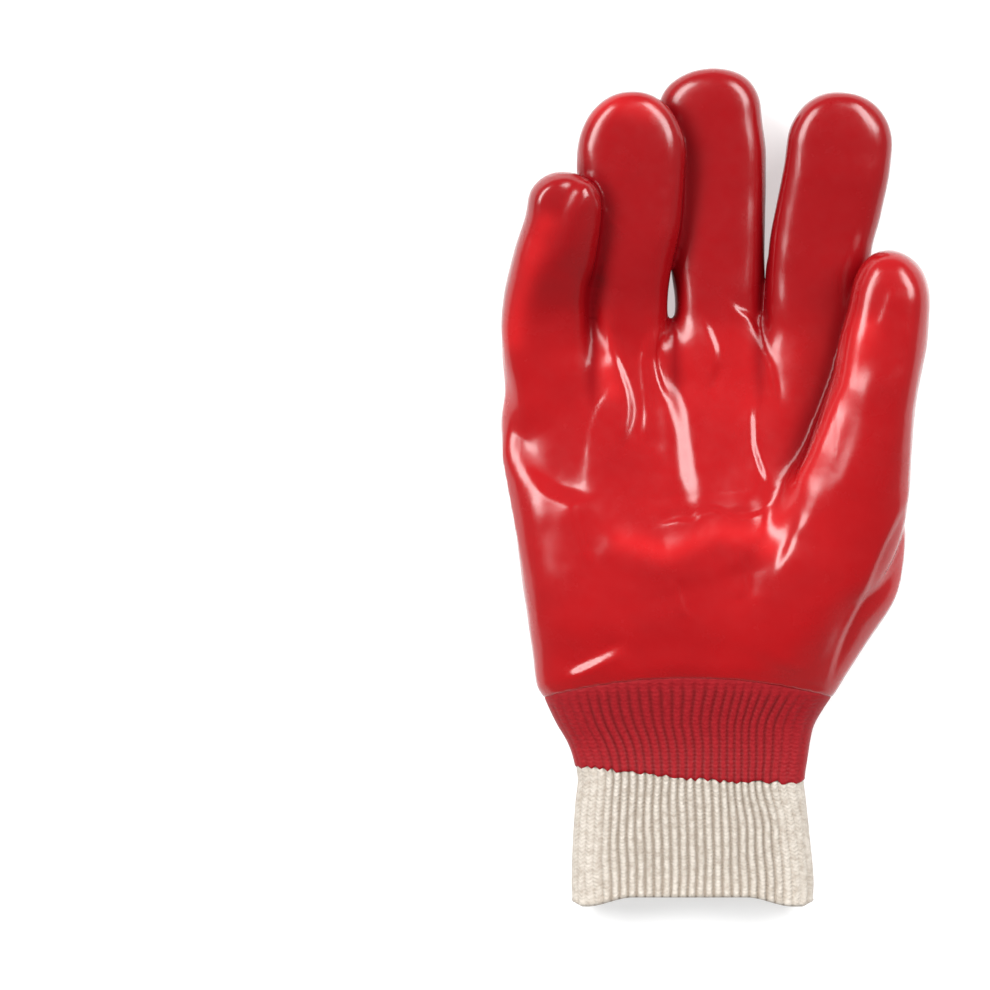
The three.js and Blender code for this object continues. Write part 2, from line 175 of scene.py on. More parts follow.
def from_photo(points):
    p = np.asarray(points, float)
    return np.stack([(p[:, 0] - MIDDLE_COLUMN) * PIXEL, (HEM_ROW - p[:, 1]) * PIXEL], 1)


def smoothstep(value, low, high):
    t = np.clip((value - low) / (high - low), 0, 1)
    return t * t * (3 - 2 * t)


def columns_at(rows, place):
    """Smooth values of the table's columns at each place. The first column is the place."""
    rows = np.array(rows, float)
    key, rest = rows[:, 0], rows[:, 1:]
    at = np.clip(np.atleast_1d(place), key[0], key[-1])
    n = np.arange(len(key))
    before, after = np.maximum(n - 1, 0), np.minimum(n + 1, len(key) - 1)
    slope = (rest[after] - rest[before]) / (key[after] - key[before])[:, None]
    i = np.clip(np.searchsorted(key, at) - 1, 0, len(key) - 2)
    span = (key[i + 1] - key[i])[:, None]
    t = (at - key[i])[:, None] / span
    fade = t * t * (3 - 2 * t)
    ease = span * t * (1 - t)
    return rest[i] * (1 - fade) + rest[i + 1] * fade + ease * ((1 - t) * slope[i] - t * slope[i + 1])


def trunk_rows():
    rows = []
    for up, centre, flare in CUFF_SECTIONS:
        width = WRIST_WIDTH + (HEM_WIDTH - WRIST_WIDTH) * flare
        thick = WRIST_THICKNESS + (HEM_THICKNESS - WRIST_THICKNESS) * flare
        floor = WRIST_LIFT * (1 - min(flare, 1))
        rows.append((up * CUFF_LENGTH, centre * WRIST_WIDTH, width, thick, floor))
    for up, centre, flare in BAND_SECTIONS:
        width = WRIST_WIDTH + (SEAM_WIDTH - WRIST_WIDTH) * flare
        thick = WRIST_THICKNESS + (SEAM_THICKNESS - WRIST_THICKNESS) * flare
        y = COATING_Y + up * BAND_LENGTH
        rows.append((y, centre * WRIST_WIDTH, width, thick, WRIST_LIFT * (1 - flare)))
    rows.append((SEAM_Y, 0, SEAM_WIDTH, SEAM_THICKNESS, 0))
    for up, centre, wide, thick, floor in PALM_SECTIONS:
        y = SEAM_Y + up * PALM_LENGTH
        rows.append((y, centre * PALM_WIDTH, wide * PALM_WIDTH, thick * PALM_THICKNESS, floor * PALM_THICKNESS))
    return rows


TRUNK = trunk_rows()


def trunk_at(y):
    found = columns_at(TRUNK, y)
    found[:, 3] -= REST_DEPTH * smoothstep(np.atleast_1d(y), SEAM_Y, SEAM_Y + REST_FADE * PALM_LENGTH)
    return found


def oblong(angle, squareness):
    power = lambda v: np.sign(v) * np.abs(v) ** (2 / squareness)
    return power(np.cos(angle)), power(np.sin(angle))


BELOW_SEAM = 14  # the palm's form starts this far below the seam that cuts it
SQUARING = 30  # the palm reaches its full squareness this far above the seam


def palm_rings(sides=160, steps=110):
    y = np.linspace(SEAM_Y - BELOW_SEAM, CROTCH_Y, steps)
    x, width, thick, floor = trunk_at(y).T
    square = TRUNK_SQUARENESS + (PALM_SQUARENESS - TRUNK_SQUARENESS) * smoothstep(y, SEAM_Y, SEAM_Y + SQUARING)
    u, v = oblong(np.linspace(0, 2 * math.pi, sides, endpoint=False)[None, :], square[:, None])
    px = x[:, None] + u * width[:, None] / 2
    pz = (floor + thick / 2)[:, None] + v * thick[:, None] / 2
    return np.stack([px, np.repeat(y[:, None], sides, 1), pz], 2)


def digit_rings(name, sides=72, steps=90, tip_steps=24):
    (length, width, thickness, tip), (across, up, high) = DIGITS[name]
    root = np.array([across * PALM_WIDTH, SEAM_Y + up * PALM_LENGTH, high * PALM_THICKNESS])
    rows = DIGIT_SECTIONS[name]

    def centre(along):
        c = columns_at(rows, along)
        return root + np.stack([c[:, 0] * width, along * length, c[:, 1] * thickness], 1)

    cap = 1 - tip / length
    share, reach = oblong(math.pi / 2 * np.linspace(0, 0.985, tip_steps + 1)[1:], TIP_SQUARENESS)
    along = np.concatenate([np.linspace(0, cap, steps), cap + (1 - cap) * reach])
    share = np.concatenate([np.ones(steps), share])
    near = np.clip(along, 0.01, 0.99)
    tangent = centre(near + 0.01) - centre(near - 0.01)
    tangent /= np.linalg.norm(tangent, axis=1, keepdims=True)
    side = np.cross(tangent, [0, 0, 1])
    side /= np.linalg.norm(side, axis=1, keepdims=True)
    c = columns_at(rows, along)
    roll = np.radians(c[:, 4])[:, None]
    side = side * np.cos(roll) + np.cross(tangent, side) * np.sin(roll)
    top = np.cross(side, tangent)
    u, v = oblong(np.linspace(0, 2 * math.pi, sides, endpoint=False), DIGIT_SQUARENESS)
    half_wide = (share * c[:, 2] * width / 2)[:, None, None]
    half_thick = (share**TIP_FLATNESS * c[:, 3] * thickness / 2)[:, None, None]
    return (
        centre(along)[:, None, :]
        + side[:, None, :] * u[None, :, None] * half_wide
        + top[:, None, :] * v[None, :, None] * half_thick
    )


# Signed distance to a form on a grid of cells over the hand, negative inside.
VOXEL = 0.9
GRID_LOW = np.array([-84, 60, -14])
GRID_SIZE = np.array([184, 246, 78])
NEAR, FAR = 8, 18  # cells on either side of a form where its distance is known


def distance_field(rings, reach):
    count, sides = rings.shape[:2]
    points = np.concatenate([rings.reshape(-1, 3), rings[0].mean(0)[None], rings[-1].mean(0)[None]])
    r, s = np.meshgrid(np.arange(count - 1), np.arange(sides), indexing="ij")
    r, s = r.ravel(), s.ravel()
    t = (s + 1) % sides
    quads = np.stack([r * sides + s, (r + 1) * sides + s, (r + 1) * sides + t, r * sides + t], 1)
    e = np.arange(sides)
    f = (e + 1) % sides
    first, last = np.full(sides, count * sides), np.full(sides, count * sides + 1)
    top = (count - 1) * sides
    caps = np.concatenate([np.stack([first, e, f], 1), np.stack([last, top + f, top + e], 1)])
    grid = openvdb.FloatGrid.createLevelSetFromPolygons(
        points.astype(np.float32),
        triangles=caps.astype(np.uint32),
        quads=quads.astype(np.uint32),
        transform=openvdb.createLinearTransform(VOXEL),
        halfWidth=reach,
    )
    field = np.zeros(GRID_SIZE, np.float32)
    grid.copyToArray(field, ijk=tuple(int(v) for v in GRID_LOW))
    return field


def smooth_min(a, b, k):
    h = np.maximum(k - np.abs(a - b), 0) / k
    return np.minimum(a, b) - h * h * k / 4


def blurred(field, times):
    for _ in range(times):
        for axis in range(3):
            lower = np.roll(field, 1, axis)
            upper = np.roll(field, -1, axis)
            field = (lower + 2 * field + upper) / 4
    return field


def surface(field):
    grid = openvdb.FloatGrid(float(field.max()))
    grid.copyFromArray(np.ascontiguousarray(field), ijk=tuple(int(v) for v in GRID_LOW))
    grid.transform = openvdb.createLinearTransform(VOXEL)
    points, quads = grid.convertToQuads(isovalue=0.0)
    return points.astype(float), quads.astype(np.int64)


def sampled(field, points):
    """The field's value at each point, between its cells."""
    p = points / VOXEL - GRID_LOW
    i = np.clip(np.floor(p).astype(int), 0, GRID_SIZE - 2)
    f = p - i
    value = np.zeros(len(points))
    for dx in (0, 1):
        for dy in (0, 1):
            for dz in (0, 1):
                w = (
                    (f[:, 0] if dx else 1 - f[:, 0])
                    * (f[:, 1] if dy else 1 - f[:, 1])
                    * (f[:, 2] if dz else 1 - f[:, 2])
                )
                value += w * field[i[:, 0] + dx, i[:, 1] + dy, i[:, 2] + dz]
    return value


def point_normals(points, quads):
    c = points[quads]
    n = np.cross(c[:, 2] - c[:, 0], c[:, 3] - c[:, 1])
    total = np.stack(
        [np.bincount(quads.ravel(), np.repeat(n[:, k], 4), len(points)) for k in range(3)], 1
    )
    return total / np.maximum(np.linalg.norm(total, axis=1, keepdims=True), 1e-12)


def kept_faces(points, quads, keep):
    used, quads = np.unique(quads[keep], return_inverse=True)
    return points[used], quads.reshape(-1, 4)


def looks_down(points, normals):
    """Whether the normals of the highest points point into the form."""
    return normals[points[:, 2] > points[:, 2].max() - 2, 2].mean() < 0


def relaxed(points, quads, times):
    """Evens out the steps of the grid without shrinking the form."""
    a = quads.ravel()
    b = np.roll(quads, -1, 1).ravel()
    start, end = np.concatenate([a, b]), np.concatenate([b, a])
    count = np.maximum(np.bincount(start, minlength=len(points)), 1)[:, None]
    for step in range(2 * times):
        mean = np.stack([np.bincount(start, points[end, k], len(points)) for k in range(3)], 1) / count
        points = points + (0.5 if step % 2 == 0 else -0.52) * (mean - points)
    return points


def curve_through(points, steps=8):
    """A smooth line through the points, as many short pieces."""
    p = np.asarray(points, float)
    if len(p) < 3:
        return p
    ends = np.concatenate([[2 * p[0] - p[1]], p, [2 * p[-1] - p[-2]]])
    t = np.linspace(0, 1, steps, endpoint=False)[:, None]
    out = []
    for a, b, c, d in zip(ends[:-3], ends[1:-2], ends[2:-1], ends[3:]):
        out.append(
            0.5 * (2 * b + (c - a) * t + (2 * a - 5 * b + 4 * c - d) * t**2 + (3 * b - a - 3 * c + d) * t**3)
        )
    return np.concatenate([*out, p[-1:]])


def nearest_on(xy, line, reach):
    """Which points are within reach of a line, their signed distance to it, positive on the right of a line
    that is drawn downwards, and the share of its length passed at the nearest place."""
    path = curve_through(from_photo(line))
    a, b = path[:-1], path[1:]
    lengths = np.linalg.norm(b - a, axis=1)
    along = np.concatenate([[0], np.cumsum(lengths)])
    near = np.all((xy > path.min(0) - reach) & (xy < path.max(0) + reach), axis=1)
    p = xy[near]
    best = np.full(len(p), np.inf)
    place = np.zeros(len(p))
    side = np.ones(len(p))
    for k in range(len(a)):
        d = b[k] - a[k]
        v = p - a[k]
        t = np.clip((v @ d) / max(d @ d, 1e-9), 0, 1)
        gap = np.linalg.norm(v - t[:, None] * d, axis=1)
        closer = gap < best
        best = np.where(closer, gap, best)
        place = np.where(closer, along[k] + t * lengths[k], place)
        side = np.where(closer, np.sign(d[0] * v[:, 1] - d[1] * v[:, 0]), side)
    return near, best * side, place / along[-1]


def crease(xy, slope, start, end, left, right, line):
    """A flank of the given slope along a line. It falls towards the right of the line, and is the start and end
    widths wide there. To the left and right the form goes back to what it was."""
    out = np.zeros(len(xy))
    near, across, place = nearest_on(xy, line, 3.2 * max(left, right))
    width = start + (end - start) * place
    fade = smoothstep(place, -0.02, 0.25) * smoothstep(1 - place, -0.02, 0.25)
    fall = np.exp(-np.abs(across) / np.where(across < 0, left, right))
    step = across / (1 + (2 * across / width) ** 4) ** 0.25
    out[near] = -slope * step * fall * fade
    return out


def swelling(xy, height, width, line):
    """A soft rise, or a dent if the height is negative, along a line."""
    out = np.zeros(len(xy))
    near, across, _ = nearest_on(xy, line, 2.6 * width)
    out[near] = height * np.exp(-((across / width) ** 2))
    return out


# Creases of the palm side: [slope, width at the start and at the end, reach to the left and to the right in mm,
# line in photograph columns and rows]. A slope above 0 falls to the right of a line that is drawn downwards.
PALM_CREASES = [
    # below the crotch of the little and ring fingers
    (0.62, 2.2, 2.8, 6, 7, [
        (603, 318), (612, 346), (621, 370), (628, 390), (631, 410), (627, 432), (614, 456),
    ]),
    # below the crotch of the ring and middle fingers
    (-0.62, 2.0, 2.0, 4, 4, [(652, 328), (642, 353), (640, 367), (643, 395), (644, 418), (641, 446)]),
    (0.60, 1.8, 2.0, 4, 4, [(666, 322), (659, 345), (658, 363), (662, 384), (668, 402)]),
    (0.50, 7.0, 9.0, 14, 14, [(660, 350), (668, 384), (677, 412), (682, 440), (686, 466), (692, 516)]),
    (0.56, 2.0, 4.0, 4, 5, [(702, 312), (713, 338), (717, 352), (716, 366), (706, 394)]),
    # below the crotch of the middle and index fingers
    (0.70, 2.0, 2.0, 5, 5, [
        (726, 296), (737, 309), (749, 316), (757, 329), (762, 348), (769, 366), (773, 384),
        (779, 409),
    ]),
    (0.70, 1.8, 2.2, 5, 6, [(757, 398), (753, 416), (753, 433), (755, 451), (767, 488)]),
    # the cushion at the little finger's side
    (0.55, 7.0, 8.0, 9, 14, [
        (498, 418), (508, 438), (518, 456), (529, 470), (542, 483), (557, 494), (580, 500),
        (604, 500),
    ]),
    (0.32, 3.0, 3.0, 5, 5, [(574, 500), (580, 532), (586, 549), (598, 566)]),
    # the ridge across the palm
    (0.60, 2.0, 1.8, 4, 4, [
        (648, 528), (675, 520), (691, 520), (700, 512), (715, 509), (731, 517), (746, 517),
        (761, 512), (778, 500),
    ]),
    # the thumb
    (-0.30, 8.0, 6.0, 10, 16, [
        (878, 340), (868, 372), (861, 400), (856, 428), (846, 460), (832, 490), (820, 512),
    ]),
    (0.28, 5.0, 5.0, 5, 6, [(842, 385), (834, 408), (828, 432), (820, 455), (808, 480), (798, 500)]),
    (0.30, 9.0, 8.0, 22, 9, [(758, 488), (762, 526), (774, 566)]),
    (-0.25, 4.0, 2.0, 6, 6, [(803, 512), (795, 528), (788, 544), (781, 560), (774, 578)]),
    (-0.36, 2.4, 2.4, 4, 4, [(890, 286), (883, 308), (874, 332)]),
    (0.60, 1.8, 1.8, 5, 5, [
        (912, 474), (905, 495), (893, 520), (879, 550), (862, 590), (847, 622), (835, 654),
        (825, 694),
    ]),
    # small marks
    (0.60, 1.6, 1.6, 3, 3, [(675, 577), (681, 598), (689, 618)]),
    (0.62, 3.8, 3.8, 5, 5, [(562, 678), (594, 662), (628, 644)]),
    (0.48, 3.0, 3.0, 4, 4, [(740, 552), (745, 575), (747, 600)]),
    (-0.60, 4.0, 6.0, 8, 9, [(600, 176), (582, 184), (573, 198), (566, 213), (557, 244), (548, 268)]),
]
# Soft swellings and dents of the palm side and of the back: [height, half width, line].
PALM_SWELLINGS = [
    (-1.2, 4.5, [(598, 290), (601, 330), (604, 352)]),
    (-0.8, 4.0, [(652, 360), (653, 400), (655, 440)]),
    (-0.9, 9.0, [(612, 492), (636, 498), (648, 500)]),
    (1.3, 6.0, [(612, 546), (640, 554), (664, 560), (688, 550), (712, 540), (732, 546)]),
    (-2.0, 17.0, [(650, 385), (740, 385)]),
    (2.0, 27.0, [(844, 510), (828, 560)]),
    (1.6, 12.0, [(545, 508), (580, 508)]),
]
BACK_SWELLINGS = [
    (-1.4, 6, [(700, 90), (712, 98)]),
]
# Painted light, where the coating is painted a brighter red: [share, half width, line].
PAINTED_LIGHT_LINES = [
    (0.52, 4.0, [(624, 540), (664, 550), (690, 542), (716, 532), (740, 534), (764, 530)]),
    (0.6, 4.0, [(545, 225), (530, 262), (519, 300), (512, 340)]),
    (0.5, 3.5, [(598, 320), (600, 350), (612, 390)]),
    (0.6, 4.5, [(862, 330), (838, 400), (815, 455), (786, 505), (770, 545)]),
    (0.4, 4.0, [(590, 112), (612, 104), (650, 110)]),
]


# Heights of the gentle unevenness all over the coating.
BROAD_WAVES, SHORT_WAVES = 0.12, 0.07


def waves(points, seed, count, shortest, longest):
    """Gentle unevenness of mostly -1 to 1, as a sum of waves in random directions."""
    rng = np.random.default_rng(seed)
    total = np.zeros(len(points))
    for _ in range(count):
        direction = rng.normal(size=3)
        direction /= np.linalg.norm(direction)
        length = rng.uniform(shortest, longest)
        total += np.sin(points @ direction * 2 * math.pi / length + rng.uniform(0, 2 * math.pi))
    return total / math.sqrt(count)


def relief(points, normals):
    """How far the coated surface stands out from its plain form, in mm."""
    xy = points[:, :2]
    height = np.zeros(len(points))
    palm = smoothstep(normals[:, 2], 0.05, 0.5)
    back = smoothstep(-normals[:, 2], 0.05, 0.5)
    for slope, start, end, left, right, line in PALM_CREASES:
        height += palm * crease(xy, slope, start, end, left, right, line)
    for tall, width, line in PALM_SWELLINGS:
        height += palm * swelling(xy, tall, width, line)
    for tall, width, line in BACK_SWELLINGS:
        height += back * swelling(xy, tall, width, line)
    height += BROAD_WAVES * waves(points, seed=11, count=14, shortest=18, longest=50)
    height += SHORT_WAVES * waves(points, seed=23, count=20, shortest=8, longest=17)
    return height


def folded(points, normals):
    """The relief with its fade towards the seam."""
    return relief(points, normals) * smoothstep(points[:, 1] - seam_line(points[:, 0]), FOLDS_START, FOLDS_FULL)


def seam_line(x):
    return SEAM_Y + SEAM_RISE - (SEAM_RISE + SEAM_FALL) * np.minimum(1, np.abs(x) / (SEAM_WIDTH / 2)) ** 2


def make_mesh(name, points, faces):
    mesh = bpy.data.meshes.new(name)
    mesh.from_pydata(to_frame(points).tolist(), [], faces.tolist())
    mesh.polygons.foreach_set("use_smooth", [True] * len(mesh.polygons))
    mesh.update()
    piece = bpy.data.objects.new(name, mesh)
    bpy.context.scene.collection.objects.link(piece)
    return piece


# The coated hand: palm and digits melt into one skin, and digits that only lie beside each other stay apart.
palm_field = distance_field(palm_rings(), FAR)
digit_fields = {name: distance_field(digit_rings(name), FAR if name == "thumb" else NEAR) for name in DIGITS}
cells = [(GRID_LOW[k] + np.arange(GRID_SIZE[k])) * VOXEL for k in range(3)]
# The thumb melts softly into the palm at the inner side of its foot, and stands off higher up.
thumb_foot = smoothstep(cells[1], 150, 116)[None, :, None] * smoothstep(cells[0], 54, 40)[:, None, None]
blends = dict.fromkeys(DIGITS, FINGER_BLEND)
blends["thumb"] = THUMB_TIP_BLEND + (THUMB_FOOT_BLEND - THUMB_TIP_BLEND) * thumb_foot
joined = [smooth_min(palm_field, digit_fields[name], blends[name]) for name in DIGITS]
whole = joined[0]
for field in joined[1:]:
    whole = smooth_min(whole, field, DIGIT_TO_DIGIT_BLEND)
below_table = np.broadcast_to(-cells[2][None, None, :], whole.shape)
whole = -smooth_min(-whole, -below_table, TABLE_ROUNDING)
whole = blurred(whole, 2)

beyond_seam = np.broadcast_to(seam_line(cells[0])[:, None, None] - cells[1][None, :, None], whole.shape)
points, quads = surface(-smooth_min(-whole, -beyond_seam, SEAM_ROUNDING))
points = relaxed(points, quads, 4)
inside = sampled(whole, points) < -WALL
points, quads = kept_faces(points, quads, ~np.all(inside[quads], axis=1))
normals = point_normals(points, quads)
if looks_down(points, normals):
    quads = quads[:, ::-1]
    normals = -normals
above_seam = points[:, 1] - seam_line(points[:, 0])
rise = folded(points, normals) - SEAM_INSET * (1 - smoothstep(above_seam, 0, INSET_FADE))
points = points + normals * rise[:, None]
points[:, 2] = np.maximum(points[:, 2], 0.0)
hand = make_mesh("coated_glove_hand", points, quads)

# Painted shade and painted light on the coating: painted shade makes the fingers' faces darker than the palm
# and thumb, and darkest between two digits and at the foot of the thumb; painted light makes it a brighter red
# along lines.
FACE_SHADE = 0.75
to_thumb = sampled(digit_fields["thumb"], points)
to_digits = np.sort([sampled(field, points) for field in digit_fields.values()], axis=0)
# Painted shade at the foot of the thumb and between two digits.
foot = smoothstep(np.abs(to_thumb) + np.abs(sampled(palm_field, points)), 9, 1)
foot = foot * smoothstep(points[:, 1], 116, 138) * smoothstep(points[:, 0], 56, 44)
between = np.maximum(smoothstep(to_digits[1], 7, 0.5), foot)
# Painted shade on the fingers' faces.
face_shade_share = smoothstep(points[:, 1], 172, 196) * smoothstep(to_thumb, 1, 5)
# Painted light: a brighter red along the lines, on faces that look upwards.
painted_light = np.max([swelling(points[:, :2], *row) for row in PAINTED_LIGHT_LINES], axis=0)
painted_light = painted_light * smoothstep(normals[:, 2], 0.1, 0.6)
shade = np.stack([FACE_SHADE * face_shade_share, between, painted_light], 1)

# The cotton inside the hand, open at the seam.
points, quads = surface(-smooth_min(-(whole + WALL), -beyond_seam, SEAM_ROUNDING))
at_seam = np.abs(sampled(beyond_seam.astype(np.float32), points)) < 0.7 * VOXEL
points, quads = kept_faces(points, quads, ~np.all(at_seam[quads], axis=1))
points = relaxed(points, quads, 3)
normals = point_normals(points, quads)
if looks_down(points, normals):
    normals = -normals
points = points + normals * folded(points, normals)[:, None]
lining = make_mesh("cotton_lining", points, quads)
lining_cut = lining.modifiers.new("fewer faces", "DECIMATE")
lining_cut.ratio = 0.35


# The knit wrist. Columns run around it at even distances, so that its ribs are equally wide.
PER_RIB = 10
AROUND = RIB_COUNT * PER_RIB
GROOVE_WIDTH = 0.2  # share of a rib
SIDE_FLATTENING = 0.75
BARE_GROOVE, COATED_GROOVE, INNER_GROOVE = 0.8, 0.38, 0.35
UNDER_COATING = 4  # how far the bare knit's outer face runs on under the coated stretch
TUCK = 0.9  # and how much deeper it lies there
SEAM_TUCK = 0.35  # how much deeper the coated knit lies behind the seam
RIB_LEAN = 0.9  # ribs
RIB_DRIFT = 0.08, 0.03  # ribs, in long and in short waves


def even_ring(y):
    """Points at even distances around the wrist at one height, and their outward directions."""
    x, width, thick, floor = trunk_at(y)[0]
    u, v = oblong(np.linspace(0, 2 * math.pi, 721), TRUNK_SQUARENESS)
    p = np.stack([x + u * width / 2, floor + thick / 2 + v * thick / 2], 1)
    steps = np.concatenate([[0], np.cumsum(np.linalg.norm(np.diff(p, axis=0), axis=1))])
    at = np.linspace(0, steps[-1], AROUND, endpoint=False)
    q = np.stack([np.interp(at, steps, p[:, k]) for k in range(2)], 1)
    d = np.roll(q, -1, 0) - np.roll(q, 1, 0)
    d /= np.linalg.norm(d, axis=1, keepdims=True)
    return q, np.stack([d[:, 1], -d[:, 0]], 1)


def rib_profile(share):
    """0 on a crest and 1 in the narrow groove between two ribs."""
    gap = np.abs((share % 1) - 0.5)
    return np.exp(-((gap / GROOVE_WIDTH) ** 2))


def across_rib(share):
    """0 in the middle of a groove and 1 on the crest."""
    return np.abs((share % 1) - 0.5) * 2


def rib_share(y, q):
    """Which rib each column lies on. Ribs wander a little, and lean near the coating on the thumb's side."""
    index = np.arange(AROUND)
    turn = index / AROUND
    top = smoothstep(np.sin(2 * math.pi * turn), 0.0, 0.4)
    lean = RIB_LEAN * smoothstep(y, COATING_Y - 16, COATING_Y - 2) * smoothstep(q[:, 0], 8, 26) * top
    drift = RIB_DRIFT[0] * np.sin(y * 0.16 + 3 * turn * 2 * math.pi)
    drift = drift + RIB_DRIFT[1] * np.sin(y * 0.33 + 7 * turn * 2 * math.pi)
    return index / PER_RIB + drift - lean


def side_fade():
    """Ribs lie flatter where the knit turns round the sides."""
    side = np.abs(np.cos(2 * math.pi * np.arange(AROUND) / AROUND))
    return 1 - SIDE_FLATTENING * smoothstep(side, 0.8, 0.97)


def knit_sheet(rows):
    """A tube of knit from rows of [height, inset, groove depth]. Also groove, height and place on the rib."""
    out, marks = [], []
    for y, inset, groove in rows:
        q, direction = even_ring(y)
        share = rib_share(y, q)
        profile = rib_profile(share) * side_fade()
        tucked = TUCK * smoothstep(y - coating_line(q[:, 0]), -0.4, 1.6)
        depth = inset + np.where(inset < 1, tucked, 0) + groove * profile
        lifted = y + hem_lift(q[:, 0]) * smoothstep(np.array(y), 26, 0)
        out.append(np.stack([q[:, 0] - direction[:, 0] * depth, lifted, q[:, 1] - direction[:, 1] * depth], 1))
        marks.append(np.stack([profile, np.full(AROUND, y), across_rib(share)], 1))
    return np.array(out), np.array(marks)


def hem_lift(x):
    """How much higher than its lowest place the hem lies across the glove, in mm."""
    middle = 2.9 * smoothstep(np.abs(x - 0.5), 33, 18)
    return middle + 1.3 * smoothstep(np.abs(x - 1.4), 35, 38.5)


def coating_line(x):
    return COATING_Y + COATING_RISE - COATING_DIP * np.sin(math.pi * x / WRIST_WIDTH + COATING_PHASE)


def tube_faces(count, flip=False):
    r, column = np.meshgrid(np.arange(count - 1), np.arange(AROUND), indexing="ij")
    r, column = r.ravel(), column.ravel()
    after = (column + 1) % AROUND
    here, above = r * AROUND, (r + 1) * AROUND
    faces = np.stack([here + column, above + column, above + after, here + after], 1)
    return faces[:, ::-1] if flip else faces


def put_coordinates(piece, name, values):
    layer = piece.data.attributes.new(name, "FLOAT_VECTOR", "POINT")
    layer.data.foreach_set("vector", values.astype(np.float32).ravel())


def cuff_rows():
    """From under the coating down the outer face, round the folded hem and up the inner face to the seam."""
    top = SEAM_Y + SEAM_RISE + 5
    rows = [(y, COATING_LIP, BARE_GROOVE) for y in np.linspace(COATING_Y + UNDER_COATING, HEM_ROUNDING, 60)]
    r = KNIT_WALL / 2
    for turn in np.linspace(0, math.pi, 9)[1:]:
        groove = BARE_GROOVE * (1 + math.cos(turn)) / 2 + 0.2
        rows.append((HEM_ROUNDING - r * math.sin(turn) * 1.2, r - r * math.cos(turn), groove))
    return rows + [(y, KNIT_WALL, INNER_GROOVE) for y in np.linspace(HEM_ROUNDING + 1, top, 46)]


sheet, coords = knit_sheet(cuff_rows())
cuff = make_mesh("rib_knit_cuff", sheet.reshape(-1, 3), tube_faces(len(sheet)))
put_coordinates(cuff, "knit", coords.reshape(-1, 3))


def band_sheet():
    """The coated knit, from the toothed lower edge of the coating to a little above the seam."""
    teeth = np.random.default_rng(5).uniform(-0.75, 0.75, RIB_COUNT * 2)
    column = np.arange(AROUND)
    tooth = np.interp(column / (PER_RIB / 2), np.arange(RIB_COUNT * 2 + 1), np.append(teeth, teeth[0]))
    heights = np.linspace(COATING_Y - 6, SEAM_Y + SEAM_RISE + 4, 120)
    rings, directions = (np.array(part) for part in zip(*(even_ring(y) for y in heights)))
    low = coating_line(rings[10, :, 0]) + tooth
    high = seam_line(rings[-20, :, 0]) + 3.5
    out, marks = [], []
    for share_up in np.linspace(0, 1, 56):
        y = low + (high - low) * share_up
        f = (y - heights[0]) / (heights[1] - heights[0])
        i = np.clip(np.floor(f).astype(int), 0, len(heights) - 2)
        w = (f - i)[:, None]
        q = rings[i, column] * (1 - w) + rings[i + 1, column] * w
        d = directions[i, column] * (1 - w) + directions[i + 1, column] * w
        below_seam = seam_line(q[:, 0]) - y
        share = rib_share(y, q)
        profile = rib_profile(share) * side_fade() * (0.1 + 0.9 * smoothstep(below_seam, -1, 5))
        depth = COATING_LIP * (1 - smoothstep(share_up, 0.0, 0.02)) + COATED_GROOVE * profile
        depth = depth + SEAM_TUCK * (1 - smoothstep(below_seam, -2.0, 0.3))
        out.append(np.stack([q[:, 0] - d[:, 0] * depth, y, q[:, 1] - d[:, 1] * depth], 1))
        marks.append(np.stack([profile, y, across_rib(share)], 1))
    return np.array(out), np.array(marks)


sheet, coords = band_sheet()
band = make_mesh("coated_rib_band", sheet.reshape(-1, 3), tube_faces(len(sheet), flip=True))
put_coordinates(band, "knit", coords.reshape(-1, 3))


# Materials. Colours of the coating on the hand, of the coated knit and of the bare knit.
COATING_COLORS = [(0.3, (0.28, 0.003, 0.005)), (0.72, (0.35, 0.004, 0.006))]
# Painted shade of the fingers' faces, painted light of a brighter red, and painted shade between digits.
FACE_SHADE_COLOR, PAINTED_LIGHT_COLOR, PAINTED_SHADE_COLOR = (0.20, 0.002, 0.004), (0.52, 0.010, 0.012), (0.15, 0.001, 0.003)
BAND_COLORS = [(0.3, (0.23, 0.003, 0.007)), (0.7, (0.29, 0.005, 0.010))]
# Painted shade in the grooves between the coated ribs.
BAND_GROOVE_SHADE_COLOR = (0.15, 0.002, 0.004)
KNIT_COLORS = [(0.32, (0.37, 0.322, 0.27)), (0.62, (0.50, 0.455, 0.40))]
# Painted shade in the grooves between the bare ribs.
KNIT_GROOVE_SHADE_COLOR = (0.25, 0.205, 0.16)
LINING_COLORS = [(0.3, (0.52, 0.44, 0.36)), (0.7, (0.74, 0.66, 0.57))]
LOOPS_PER_MM = 0.8


def new_material(name):
    material = bpy.data.materials.new(name)
    material.use_nodes = True
    nodes = material.node_tree.nodes
    return material, nodes, material.node_tree.links, nodes["Principled BSDF"]


def noise(nodes, links, source, scale, detail=4.0, roughness=0.5):
    node = nodes.new("ShaderNodeTexNoise")
    node.inputs["Scale"].default_value = scale
    node.inputs["Detail"].default_value = detail
    node.inputs["Roughness"].default_value = roughness
    links.new(source, node.inputs["Vector"])
    return node


def ramp(nodes, links, value, stops):
    node = nodes.new("ShaderNodeValToRGB")
    while len(node.color_ramp.elements) < len(stops):
        node.color_ramp.elements.new(0.5)
    for element, (place, color) in zip(node.color_ramp.elements, stops):
        element.position = place
        element.color = (*color, 1)
    links.new(value, node.inputs["Fac"])
    return node


def bump(nodes, links, height, strength, distance, onto=None):
    node = nodes.new("ShaderNodeBump")
    node.inputs["Strength"].default_value = strength
    node.inputs["Distance"].default_value = distance
    links.new(height, node.inputs["Height"])
    if onto is not None:
        links.new(onto, node.inputs["Normal"])
    return node.outputs["Normal"]


